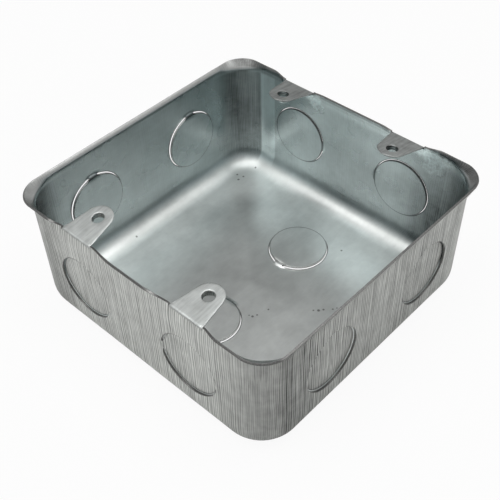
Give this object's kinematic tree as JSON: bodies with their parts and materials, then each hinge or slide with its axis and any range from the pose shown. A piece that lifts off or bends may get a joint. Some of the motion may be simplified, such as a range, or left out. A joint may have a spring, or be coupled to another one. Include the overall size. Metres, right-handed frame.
{
  "type": "switch box",
  "caption": "Square open wiring box drawn from one zinc-coated steel sheet, with a flared rim, folded screw lugs and round knockouts in its walls and base.",
  "frame": {"origin": "centre of the underside of the base", "axes": "+Z towards the open side, +Y and -Y through the two walls that carry the screw lugs, +X and -X through the plain walls"},
  "size_m": [0.1058, 0.104, 0.0465],
  "materials": {
    "zinc_coated_steel": "bright zinc coating with fine drawing marks along the walls"
  },
  "bodies": {
    "root": {"switch_box": "zinc_coated_steel"}
  },
  "joints": []
}
